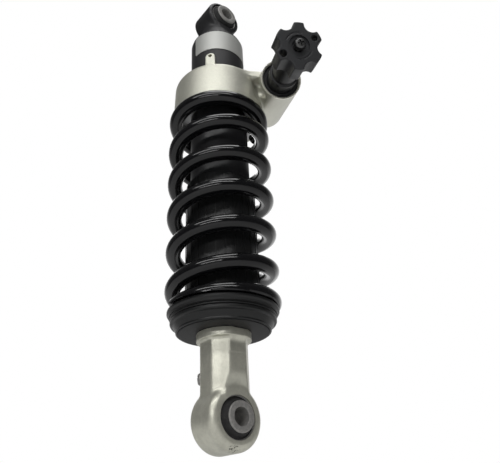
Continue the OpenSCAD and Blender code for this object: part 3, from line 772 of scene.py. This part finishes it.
class SHOCK_OT_casting(ShockPiece, bpy.types.Operator):
    """Cast ring, arm, barrel and lug, with machined bores"""

    bl_idname = "shock.casting"
    bl_label = "Casting"

    def execute(self, context):
        edge, blend = self.sizes.cast_edge / MM, self.sizes.cast_blend / MM
        ring_r, draft, barrel_r, barrel_end = 40.5, 1.2, 17.8, -74
        arm = Vector(around(FACING + math.pi / 2))
        arm_half = (26, 31.75, 4)
        arm_middle = arm * arm_half[0] + up(CAST_TOP - 4.5) - crosswise(arm) * 1.75
        flute = arm * 33.5 - crosswise(arm) * 27.5 + up(SPRING_TOP)
        lug = Vector(around(math.radians(-139.5)))
        lug_middle = lug * 27.2 + up(CAST_TOP + 7)
        lug_eye = up(CAST_TOP + 18.5)

        def field(points):
            x, y, z = points.T
            drafted = ring_r - draft * np.clip((z - SPRING_TOP) / (CAST_TOP - SPRING_TOP), 0, 1)
            ring = edged(np.hypot(x, y) - (drafted - edge), z - (CAST_TOP - edge), edge)
            ring = np.maximum(ring, SPRING_TOP - 3 - z)
            barrel = round_bar(points, ahead(barrel_end), ahead(3), barrel_r)
            end = np.linalg.norm(points - np.array(ahead(barrel_end), float), axis=1) - barrel_r
            body = joined(ring, block(points, arm_middle, arm, arm_half, 2.2), blend)
            body = joined(body, np.minimum(barrel, end), blend)
            groove = round_bar(points, flute + up(7), flute + up(26), 5.3, 2)
            plate = block(points, lug_middle, lug, (1.9, 4.5, 11.5), 0.8)
            cap = round_bar(points, lug * 25.3 + lug_eye, lug * 29.1 + lug_eye, 4.5, 0.8)
            return joined(less(body, groove, 1.4), np.minimum(plate, cap), 1.6)

        low, high = (-45, -88, SPRING_TOP - 5), (80, 46, CAST_TOP + 32)
        piece = surface("adjuster_casting", field, low, high, 0.8, "cast_light")
        mouth = [(0, -10), (NUT_R, -10), (NUT_R, -1), (17.2, 0.25), (17.2, 5), (0, 5)]
        lug_hole = up(CAST_TOP + 19.5)
        tools = [
            upright("floor cutter", SPRING_TOP - 20, SPRING_TOP, 43),
            ahead_bar("mouth cutter", 0, 12, 24),
            upright("tube cutter", SPRING_TOP - 5, CAST_TOP + 5, TUBE_R + 0.02),
            upright("cylinder cutter", SPRING_TOP - 5, CAST_TOP - 5, 32),
            upright("seat cutter", SPRING_TOP - 5, SPRING_TOP + 4.7, 38.7),
            turned_tool("mouth bore", mouth, ADJUSTER),
            ahead_bar("adjuster bore", -82, 5, 12.5),
            bar("lug hole", lug * 25.6 + lug_hole, lug * 34 + lug_hole, 1.7, 32),
        ]
        cut_away(piece, tools)
        dress(piece, "damper", "cast_light", "casting")
        return {"FINISHED"}


class SHOCK_OT_upper_eye(ShockPiece, bpy.types.Operator):
    """Black forged end cap with the upper eye, its rubber and its inner sleeve"""

    bl_idname = "shock.upper_eye"
    bl_label = "Upper eye"

    def execute(self, context):
        eye_r, eye_w, step_w, step_r = 17.8, 28, 24.6, 14.7
        neck_r, flare = 13.6, 4.6

        def field(points):
            x, y, z = points.T
            eye = eye_field(points, 0, eye_r, eye_w, 2.6)
            neck = np.hypot(x, y) - (neck_r + flare * np.clip(-z / 33.3, 0, 1) ** 1.5)
            neck = np.maximum(neck, np.abs(z + 17) - 17.2)
            rim = round_bar(points, (0, 0, RIM - 3), (0, 0, RIM), 24.2, 0.9)
            return joined(joined(eye, neck, 4), rim, 1.0)

        piece = surface("upper_end_cap", field, (-26, -26, RIM - 5), (26, 26, 20), 0.6, "body_black")
        tools = [
            bar("eye bore", (0, -20, 0), (0, 20, 0), UPPER_EYE_BORE),
            bar("step front", (0, -20, 0), (0, -step_w / 2, 0), step_r),
            bar("step back", (0, step_w / 2, 0), (0, 20, 0), step_r),
        ]
        cut_away(piece, tools)
        dress(piece, "damper", "body_black", "top_cap")
        plug_r = TUBE_BORE
        outline = [(0, RIM - 16), (plug_r, RIM - 16), (plug_r, RIM - 3.2), (0, RIM - 3.2)]
        turned_piece("end_plug", outline, "body_black", 0.4, "damper")
        make_bush("upper", 0, UPPER_EYE_BORE, 10.6, eye_w, 37, "damper", "upper_pivot")
        return {"FINISHED"}


def make_bush(end, height, rubber_r, sleeve_r, eye_w, sleeve_w, body, pivot):
    """Rubber with a rolled lip, its thin shell and an inner sleeve, turned about Y."""
    turn = Matrix.Rotation(math.radians(90), 4, "X")
    turn.translation = up(height)
    sleeve, eye, inset, bolt_r, shell_t = sleeve_w / 2, eye_w / 2, 1.6, 6.1, 0.7
    rubber_half = [
        (sleeve_r + 0.05, 0.9 - sleeve),
        (sleeve_r + 0.6, 1.4 - sleeve, 0.4),
        ((rubber_r + sleeve_r) / 2, inset - 0.6 - eye, 1.2),
        (rubber_r - shell_t - 0.02, inset - 0.2 - eye),
    ]
    shell_half = [(rubber_r - shell_t, 0.9 - eye, 0.1), (rubber_r - 0.02, 0.5 - eye, 0.2)]
    sleeve_half = [(bolt_r, -sleeve, 0.5), (sleeve_r, -sleeve, 0.9)]
    for name, half, finish, edge, rides, nodes in (
        ("bush_rubber", rubber_half, "rubber_black", 0.5, body, (f"{end}_rubber",)),
        ("bush_shell", shell_half, "zinc_steel", 0.1, body, ()),
        ("inner_sleeve", sleeve_half, "zinc_steel", 0.5, pivot, (f"{end}_sleeve",)),
    ):
        turned_piece(f"{end}_{name}", both_ends(half), finish, edge, rides, *nodes, matrix=turn)


class SHOCK_OT_body(ShockPiece, bpy.types.Operator):
    """Black damper tube and the plain plate wrapped round it"""

    bl_idname = "shock.body"
    bl_label = "Damper body"

    def execute(self, context):
        outline = [
            (TUBE_BORE, TUBE_LOW + 2.2, 0), (TUBE_BORE, TUBE_LOW, 0.4), (TUBE_R, TUBE_LOW, 0.8),
            (TUBE_R, RIM - 3.4, 0.2), (24.6, RIM - 3.2, 0.1), (24.6, RIM - 3.0, 0.1),
            (TUBE_BORE, RIM - 3.0, 0),
        ]
        turned_piece("damper_tube", outline, "body_black", 0.3, "damper", "body_tube")
        self.plate(TUBE_R + 0.04, TUBE_R + 0.32)
        return {"FINISHED"}

    def plate(self, inner, outer):
        """A thin sheet with round corners, bent to the tube."""
        low, high = cad_z("plain_plate", 0), cad_z("plain_plate", 1)
        steps, start, sweep, corner = 96, math.radians(-180), math.radians(205), 1.6
        points, faces = [], []
        for i in range(steps + 1):
            a = start + sweep * i / steps
            gap = min(i, steps - i) * sweep * TUBE_R / steps
            inset = corner - math.sqrt(max(corner**2 - max(corner - gap, 0) ** 2, 0))
            points += [around(a, radius, z) for radius in (inner, outer) for z in (low + inset, high - inset)]
        for n in range(0, steps * 4, 4):
            m = n + 4
            faces += [(n, m, m + 1, n + 1), (n + 3, m + 3, m + 2, n + 2)]
            faces += [(n + 2, m + 2, m, n), (n + 1, m + 1, m + 3, n + 3)]
        last = steps * 4
        faces += [(0, 1, 3, 2), (last + 2, last + 3, last + 1, last)]
        piece = new_piece("plain_plate_skin", points, faces, "plate_silver")
        outward(piece)
        dress(piece, "damper", "plate_silver", "plain_plate", sharp=30)


class SHOCK_OT_insert(ShockPiece, bpy.types.Operator):
    """Round nut in the adjuster's mouth, with the hub under the hand wheel"""

    bl_idname = "shock.insert"
    bl_label = "Adjuster nut"

    def execute(self, context):
        hub_top, hub_r, neck_r = WHEEL_LOW - 0.3, 10.6, 12.4
        outline = [
            (SPINDLE_R, -10), (NUT_R, -10), (NUT_R, -3), (neck_r, -3),
            (neck_r, 12), (hub_r, 12.6), (hub_r, hub_top), (SPINDLE_R, hub_top),
        ]
        turned_piece(
            "adjuster_nut_hub", outline, "plastic_black", 0.5, "damper", "adjuster_nut", matrix=ADJUSTER
        )
        return {"FINISHED"}


class SHOCK_OT_wheel(ShockPiece, bpy.types.Operator):
    """Lobed hand wheel with its recess, two holes and cross-head screw"""

    bl_idname = "shock.wheel"
    bl_label = "Hand wheel"

    def execute(self, context):
        edge = self.sizes.lobe_edge / MM
        low, high, turn, lobe = WHEEL_LOW, WHEEL_HIGH, math.radians(0.9), math.pi / 3
        wheel_r, scallop_at, scallop_r, hole_at = 19, 20.9, 6.4, 14.1
        # Each hole: the number of its lobe, its foot and its radius
        holes = ((1, high - 4, 2.45), (4, low - 4, 2.9))
        line_at, line_half, line_turn = 10.6, 0.6, 0.5

        def field(points):
            x, y, z = points.T
            radius, angle = np.hypot(x, y), np.arctan2(y, x) - turn
            sector = (angle + lobe / 2) % lobe - lobe / 2
            lobe_x, lobe_y = radius * np.cos(sector), radius * np.abs(np.sin(sector))
            scallop_x, scallop_y, _ = around(lobe / 2, scallop_at)
            scallop = np.hypot(lobe_x - scallop_x, lobe_y - scallop_y) - scallop_r
            side = less(radius - wheel_r, scallop, 0.9) + edge
            ends = np.abs(z - (low + high) / 2) - (high - low) / 2 + edge
            wheel = edged(side, ends, edge)
            for k, foot, hole_r in holes:
                a = turn + k * lobe + lobe
                hole = round_bar(points, around(a, hole_at, foot), around(a, hole_at, high + 4), hole_r)
                wheel = less(wheel, hole, 0.5)
            arcs = line_half * np.clip(2 * np.cos(2 * (angle - line_turn)), -1, 1)
            return less(wheel, np.hypot(radius - line_at, z - high) - arcs, 0.2)

        low_corner, high_corner = (-21, -21, low - 2), (21, 21, high + 2)
        piece = surface("hand_wheel_lobed", field, low_corner, high_corner, 0.4, "wheel_black")
        to_mouth = ADJUSTER.copy()
        to_mouth.translation = MOUTH * MM
        piece.data.transform(to_mouth)
        tools = [
            ahead_bar("dish", high - 1.5, high + 4, 8.4),
            ahead_bar("well", high - 3, high + 4, 5.6),
            ahead_bar("spindle bore", low - 2, high - 6, 4.0),
            ahead_bar("screw bore", high - 12, high + 2, 2.2, 32),
        ]
        cut_away(piece, tools)
        dress(piece, "wheel", "wheel_black", "hand_wheel", sharp=40)
        self.screw(high, high + 4.8)
        return {"FINISHED"}

    def screw(self, face, top):
        """A cross-head screw that stands proud of the wheel's face."""
        shank_r, head_r, foot, seat = 2.15, 4, face - 16, face - 3
        outline = [
            (0, foot), (shank_r, foot), (shank_r, seat), (head_r, seat),
            (head_r, top - 1.1, 0.9), (2.9, top - 0.15, 0.8), (0, top),
        ]
        cross = [box_tool("cross", (5.4, 1.35, 3.6), math.radians(a), top, ADJUSTER) for a in (20, 110)]
        turned_piece(
            "wheel_screw_head", outline, "screw_dark", 0.3, "wheel", "wheel_screw",
            matrix=ADJUSTER, segments=48, cuts=cross,
        )


def wire_height(turns, wire):
    """Height of the wire's middle after some turns from its first open coil."""
    low_ease, open_turns, high_ease, ground = 0.4, 5.0, 0.2, 0.2
    first, last = SPRING_LOW + 15, SPRING_TOP - ground - wire / 2
    end = open_turns - 0.05 + high_ease / 2
    pitch = (last - first) / end
    if turns < 0:
        u, beyond = min(low_ease, -turns), max(0, -turns - low_ease)
        return first - pitch * u + (pitch - wire) * u * u / (2 * low_ease) - wire * beyond
    if turns < end - high_ease:
        return first + pitch * turns
    v = max(0, end - turns)
    return last - pitch * v * v / (2 * high_ease)


def spring_tree():
    """Geometry nodes: a wire along a path, ground flat at both seats."""
    sizes = ("Wire radius", "Low seat", "High seat")
    nodes, given = geometry_tree("ground coil", Geometry=["Path"], Float=sizes, Material=["Finish"])
    path = nodes.node("GeometryNodeSetCurveNormal", {"mode": "Z_UP"}, {0: given["Path"]})
    sockets = {"Resolution": 32, "Radius": given["Wire radius"]}
    ring = nodes.node("GeometryNodeCurvePrimitiveCircle", {}, sockets)
    sockets = {"Curve": path, "Profile Curve": ring, "Fill Caps": True}
    wire = nodes.node("GeometryNodeCurveToMesh", {}, sockets)
    where = nodes.node("GeometryNodeInputPosition", {}, {})
    place = nodes.node("ShaderNodeSeparateXYZ", {}, {0: where}, None)
    height = place["Z"].maths("MAXIMUM", given["Low seat"]).maths("MINIMUM", given["High seat"])
    ground = nodes.node("ShaderNodeCombineXYZ", {}, {"X": place["X"], "Y": place["Y"], "Z": height})
    flat = nodes.node("GeometryNodeSetPosition", {}, {"Geometry": wire, "Position": ground})
    smooth = nodes.node("GeometryNodeSetShadeSmooth", {}, {"Geometry": flat})
    return close_tree(nodes, smooth, given["Finish"])


def rib_tree():
    """Geometry nodes: upright bars spaced round a circle, facing out."""
    sizes = ("Radius", "Width", "Depth", "Height", "Foot")
    nodes, given = geometry_tree("ribs round", Int=["Count"], Float=sizes, Material=["Finish"])
    sockets = {"Resolution": given["Count"], "Radius": given["Radius"]}
    circle = nodes.node("GeometryNodeCurvePrimitiveCircle", {}, sockets)
    spots = nodes.node("GeometryNodeCurveToPoints", {"mode": "EVALUATED"}, {0: circle}, "Points")
    sockets = {"X": given["Depth"], "Y": given["Width"], "Z": given["Height"]}
    rib = nodes.node("GeometryNodeMeshCube", {}, {"Size": nodes.node("ShaderNodeCombineXYZ", {}, sockets)})
    where = nodes.node("GeometryNodeInputPosition", {}, {})
    settings = {"axis": "X", "pivot_axis": "Z"}
    turn = nodes.node("FunctionNodeAlignRotationToVector", settings, {"Vector": where})
    sockets = {"Points": spots, "Instance": rib, "Rotation": turn}
    copies = nodes.node("GeometryNodeInstanceOnPoints", {}, sockets)
    shift = nodes.node("ShaderNodeCombineXYZ", {}, {"Z": given["Foot"]})
    lifted = nodes.node("GeometryNodeTransform", {}, {"Geometry": copies, "Translation": shift})
    return close_tree(nodes, lifted, given["Finish"])


def through_tree(name, source, tree, values):
    """The plain mesh that a node tree makes from the source object, which is removed."""
    modifier = source.modifiers.new("made", "NODES")
    modifier.node_group = tree
    sockets = {s.name: s.identifier for s in tree.interface.items_tree if s.in_out == "INPUT"}
    for label, value in values.items():
        modifier[sockets[label]] = value
    piece = linked(name, shown_mesh(source))
    bpy.data.objects.remove(source)
    return piece


class SHOCK_OT_spring(ShockPiece, bpy.types.Operator):
    """Coil spring in two lengths, with both ends closed and ground flat"""

    bl_idname = "shock.spring"
    bl_label = "Coil spring"

    def execute(self, context):
        wire = self.sizes.wire / MM
        radius = self.sizes.spring_radius / MM - wire / 2
        tree = spring_tree()
        first, split, last = -0.92, 3.75, 5.58
        height = wire_height(split, wire)
        keep = 1 - 0.06 / ((height - SPRING_LOW) * MM)
        upper = self.coil("coil_spring_upper", tree, split, last, radius, wire)
        lower = self.coil("coil_spring_lower", tree, first, split, radius, wire)
        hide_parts("coil_spring")
        height * MM
        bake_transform(upper)
        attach(lower, "damper")
        height * MM
        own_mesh(lower)
        return {"FINISHED"}

    def coil(self, name, tree, first, last, radius, wire):
        """The wire from one turn to another, as a closed mesh."""
        start, steps_per_turn, ground = math.radians(143.5), 72, 0.2
        count = int((last - first) * steps_per_turn)
        line = bpy.data.curves.new("coil path", "CURVE")
        line.dimensions = "3D"
        spline = line.splines.new("POLY")
        spline.points.add(count)
        for i in range(count + 1):
            turns = first + (last - first) * i / count
            spot = around(start + 2 * math.pi * turns, radius, wire_height(turns, wire))
            spline.points[i].co = (*(size * MM for size in spot), 1)
        values = {
            "Wire radius": wire / 2 * MM,
            "Low seat": (SPRING_LOW + ground) * MM,
            "High seat": (SPRING_TOP - ground) * MM,
            "Finish": MADE["spring_black"],
        }
        piece = through_tree(name, linked("coil path", line), tree, values)
        outward(piece)
        dress(piece, None, "spring_black", sharp=50)
        return piece


class SHOCK_OT_lower_seat(ShockPiece, bpy.types.Operator):
    """Spring pad, lower seat and the plate under it"""

    bl_idname = "shock.lower_seat"
    bl_label = "Lower seat"

    def execute(self, context):
        pad = [
            (31.2, 0), (40.2, 0, 0.3), (40.6, 1.4, 0.5), (41.7, 2.6, 0.8), (41.7, 4.4, 0.8),
            (40.6, 5, 0.4), (31.2, 5),
        ]
        # The seat's wall from the plate up to its flange, then its grooves down from the pad
        wall = [
            (15.05, 2.5, 0), (33.4, 2.5, 0), (33.4, 0.7, 0.2), (34.3, 0.4, 0.3), (35.1, 1.0, 0.3),
            (34.9, 2.0, 0.3), (36.4, 4.6, 1.5), (37.2, 6.2, 0.5), (38.8, 6.6, 0.4), (39.3, 7.4, 0.4),
        ]
        grooves = [
            (39.3, -2.9, 0.4), (38.3, -2.4, 0.2), (39.5, -1.9, 0.3), (39.6, -1.2, 0.3),
            (38.4, -0.7, 0.2), (39.6, 0, 0.2), (15.05, 0, 0),
        ]
        seat = raised(wall, SHOULDER) + raised(grooves, PAD)
        plate = [(15, 0), (SEAT_PLATE_R, 0), (SEAT_PLATE_R, 2.5), (15, 2.5)]
        for name, outline, finish, edge, node in (
            ("spring_pad_ring", raised(pad, PAD), "plastic_black", 0.3, "spring_pad"),
            ("lower_seat_cup", seat, "plastic_black", 0.2, "lower_seat"),
            ("seat_plate_disc", raised(plate, SHOULDER), "steel_dark", 0.5, "seat_plate"),
        ):
            turned_piece(name, outline, finish, edge, "rod_end", node)
        return {"FINISHED"}


class SHOCK_OT_cover(ShockPiece, bpy.types.Operator):
    """Dust cover with shallow upright ribs"""

    bl_idname = "shock.cover"
    bl_label = "Dust cover"

    def execute(self, context):
        bore, foot_r, lip_r = 26.7, 30.9, 25.6
        outline = [
            (bore, PAD, 0), (foot_r, PAD, 0.3), (foot_r, PAD + 2, 0.6), (COVER_R, PAD + 2.4, 0.5),
            (COVER_R, COVER_TOP, 0.8), (lip_r, COVER_TOP, 0.4), (lip_r, COVER_TOP - 3, 0.4),
            (bore, COVER_TOP - 4.5, 0.2),
        ]
        turned_piece("dust_cover_tube", outline, "plastic_black", 0.3, "rod_end", "dust_cover")
        low, high = PAD + 2.6, COVER_TOP - 1.2
        values = {
            "Count": self.sizes.cover_ribs,
            "Radius": COVER_R * MM,
            "Width": 0.7 * MM,
            "Depth": 0.6 * MM,
            "Height": (high - low) * MM,
            "Foot": (high + low) / 2 * MM,
            "Finish": MADE["plastic_black"],
        }
        source = linked("rib source", bpy.data.meshes.new("rib source"))
        ribs = through_tree("dust_cover_ribs", source, rib_tree(), values)
        dress(ribs, "rod_end", "plastic_black")
        return {"FINISHED"}


class SHOCK_OT_fork(ShockPiece, bpy.types.Operator):
    """Lower fork with its eye, bush and rebound screw"""

    bl_idname = "shock.fork"
    bl_label = "Lower fork"

    def execute(self, context):
        edge = self.sizes.fork_edge / MM
        eye_r, eye_w, neck_half, collar_r, collar_half = 21.65, 27.6, 16.5, 20, 18.9

        def field(points):
            x, y, z = points.T
            eye = eye_field(points, LOW_EYE, eye_r, eye_w, edge)
            neck = None
            for k in range(4):
                cos, sin, _ = around(math.radians(45 * k))
                flat = np.abs(x * cos + y * sin) - neck_half
                neck = flat if neck is None else common(neck, flat, 1.2)
            neck = np.maximum(neck, z - (SHOULDER - 4))
            neck = np.maximum(neck, LOW_EYE - z)
            away = np.clip((np.hypot(x, z - LOW_EYE) - 20) / 12, 0, 1)
            beside = np.abs(y) - (eye_w / 2 + 2.7 * away * away * (3 - 2 * away))
            neck = common(neck, beside, 1.0)
            collar = round_bar(points, (0, 0, SHOULDER - 17), (0, 0, SHOULDER + 10), collar_r, 0.6)
            collar = np.maximum(collar, z - SHOULDER)
            collar = common(collar, np.abs(y) - collar_half, 0.6)
            for k in range(8):
                cos, sin, _ = around(math.radians(45 * k))
                mill, ledge = (6.5, SHOULDER - 10.8) if k % 4 == 2 else (2.5, SHOULDER - 8.5)
                past = neck_half - 0.12 - x * cos - y * sin + mill
                collar = less(collar, edged(past, z - ledge, mill), 0.5)
            return np.minimum(joined(eye, neck, 2.2), collar)

        low, high = (-24, -22, LOW_EYE - 24), (24, 22, SHOULDER + 2)
        piece = surface("lower_fork", field, low, high, 0.55, "fork_alloy")
        facing = Vector((-1, 1, 0)).normalized()
        screw = up(LOW_EYE + 28.5)
        tools = [
            upright("top cutter", SHOULDER, SHOULDER + 9, 30),
            bar("eye bore", (0, -30, LOW_EYE), (0, 30, LOW_EYE), LOWER_EYE_BORE),
            bar("screw bore", screw + facing * 1.5, screw + facing * 30, 4.6),
            upright("rod bore", SHOULDER - 19, SHOULDER + 5, 7),
        ]
        cut_away(piece, tools)
        dress(piece, "rod_end", "fork_alloy", "fork")
        make_bush("lower", LOW_EYE, LOWER_EYE_BORE, 10.3, eye_w, 36, "rod_end", "lower_pivot")
        self.rebound(aimed(facing, screw))
        return {"FINISHED"}

    def rebound(self, turn):
        """The slotted screw that looks out of the neck."""
        shank_r, head_r = 3.2, 4.4
        outline = [
            (0, 1.5), (shank_r, 1.5), (shank_r, 12), (head_r, 12.4), (head_r, 17.6, 0.7),
            (3.6, 18.9, 0.6), (0, 19.1),
        ]
        turned_piece(
            "rebound_screw_head", outline, "zinc_steel", 0.3, "rebound", "rebound_screw",
            matrix=turn, segments=64, cuts=[box_tool("slot", (12, 1.2, 2.6), 0.3, 19, turn)],
        )


class SHOCK_OT_stage(ShockPiece, bpy.types.Operator):
    """Floor, background, lamps and camera"""

    bl_idname = "shock.stage"
    bl_label = "Studio"

    def execute(self, context):
        studio = context.scene.shock_studio
        self.floor(studio)
        self.world(studio)
        self.lamps(studio)
        self.camera()
        context.scene.view_settings.view_transform = "Standard"
        return {"FINISHED"}

    def floor(self, studio):
        p = Paint("pale floor")
        tint = p.tone(studio.floor, 0.995 + 0.01 * p.noise(0.02, 3))
        MADE["floor"] = p.finish(base_color=tint, roughness=0.8, specular_ior_level=0.2)
        size, z = 1500, LOW_EYE - 90
        corners = [(-size, -size, z), (size, -size, z), (size, size, z), (-size, size, z)]
        new_piece("floor", corners, [(0, 1, 2, 3)], "floor")

    def world(self, studio):
        """White to the eye, an even light all round, and in metal a dark room that is lighter behind."""
        world = bpy.data.worlds.new("studio")
        bpy.context.scene.world = world
        world.use_nodes = True
        nodes = Nodes(world.node_tree)
        ray = nodes.node("ShaderNodeLightPath", {}, {}, None)
        incoming = nodes.node("ShaderNodeNewGeometry", {}, {}, "Incoming")
        behind = nodes.vector("DOT_PRODUCT", incoming, (-0.64, -0.76, 0), out="Value")
        backdrop = nodes.between(behind, 0.35, 1.0) * (1 - studio.dark) + studio.dark
        seen = ray["Is Camera Ray"].maths("MAXIMUM", ray["Is Transmission Ray"])
        mirrored = ray["Is Glossy Ray"]
        strength = seen + (1 - seen) * (mirrored * backdrop + (1 - mirrored) * studio.fill)
        shader = nodes.node("ShaderNodeBackground", {}, {"Color": (1, 1, 1, 1), "Strength": strength})
        nodes.node("ShaderNodeOutputWorld", {}, {"Surface": shader})

    def lamps(self, studio):
        centre = up(-0.2)
        # Each lamp: its bearing and rise in degrees, distance and size in metres, and share of the power
        for name, bearing, rise, away, size, share in (
            ("high tube", -140, 40, 1.1, (1.5, 0.12), 1.1),
            ("low tube", -144, 7, 1.15, (0.8, 0.06), 0.45),
            ("top box", -110, 78, 1.2, (0.7, 0.5), 0.7),
            ("back box", 60, 25, 1.4, (0.8, 0.8), 0.3),
        ):
            rise = math.radians(rise)
            place = centre + away * Vector(around(math.radians(bearing), math.cos(rise), math.sin(rise)))
            data = bpy.data.lights.new(name, "AREA")
            data.shape = "RECTANGLE"
            data.size, data.size_y = size
            data.energy = studio.key * share
            lamp = linked(name, data)
            lamp.location = place
            lamp.rotation_euler = (centre - place).to_track_quat("-Z", "Y").to_euler()

    def camera(self):
        place = Vector((-0.21992, -0.29723, -0.44322))
        pitch, heading, roll = 0.50001, 0.062283 + math.radians(36.5), -0.0536945
        level = math.cos(pitch)
        forward = Vector((math.sin(heading) * level, math.cos(heading) * level, math.sin(pitch)))
        right = forward.cross(up(1)).normalized()
        upward = right.cross(forward)
        side = right * math.cos(roll) + upward * math.sin(roll)
        over = upward * math.cos(roll) - right * math.sin(roll)
        data = bpy.data.cameras.new("camera")
        data.sensor_fit = "HORIZONTAL"
        data.sensor_width = 36
        data.lens = 37.648
        data.clip_start, data.clip_end = 0.01, 50
        camera = linked("camera", data)
        turn = Matrix((side, over, -forward)).transposed().to_4x4()
        turn.translation = place
        camera.matrix_world = turn
        bpy.context.scene.camera = camera


PIECES = (
    SHOCK_OT_finishes,
    SHOCK_OT_casting,
    SHOCK_OT_upper_eye,
    SHOCK_OT_body,
    SHOCK_OT_insert,
    SHOCK_OT_wheel,
    SHOCK_OT_spring,
    SHOCK_OT_lower_seat,
    SHOCK_OT_cover,
    SHOCK_OT_fork,
    SHOCK_OT_stage,
)


class SHOCK_PT_panel(bpy.types.Panel):
    """Every piece of the shock absorber and its settings"""

    bl_idname = "SHOCK_PT_panel"
    bl_label = "Rear shock absorber"
    bl_space_type = "VIEW_3D"
    bl_region_type = "UI"
    bl_category = "Shock"

    def draw(self, context):
        column = self.layout.column(align=True)
        for piece in PIECES:
            column.operator(piece.bl_idname)
        for group in (context.scene.shock_sizes, context.scene.shock_colours, context.scene.shock_studio):
            box = self.layout.box()
            for name in group.__annotations__:
                box.prop(group, name)


CLASSES = (ShockSizes, ShockColours, ShockStudio) + PIECES + (SHOCK_PT_panel,)


def register():
    for made in CLASSES:
        bpy.utils.register_class(made)
    bpy.types.Scene.shock_sizes = bpy.props.PointerProperty(type=ShockSizes)
    bpy.types.Scene.shock_colours = bpy.props.PointerProperty(type=ShockColours)
    bpy.types.Scene.shock_studio = bpy.props.PointerProperty(type=ShockStudio)


def unregister():
    del bpy.types.Scene.shock_studio
    del bpy.types.Scene.shock_colours
    del bpy.types.Scene.shock_sizes
    for made in reversed(CLASSES):
        bpy.utils.unregister_class(made)


def main():
    register()
    for piece in PIECES:
        group, name = piece.bl_idname.split(".")
        getattr(getattr(bpy.ops, group), name)()


if __name__ == "__main__":
    main()
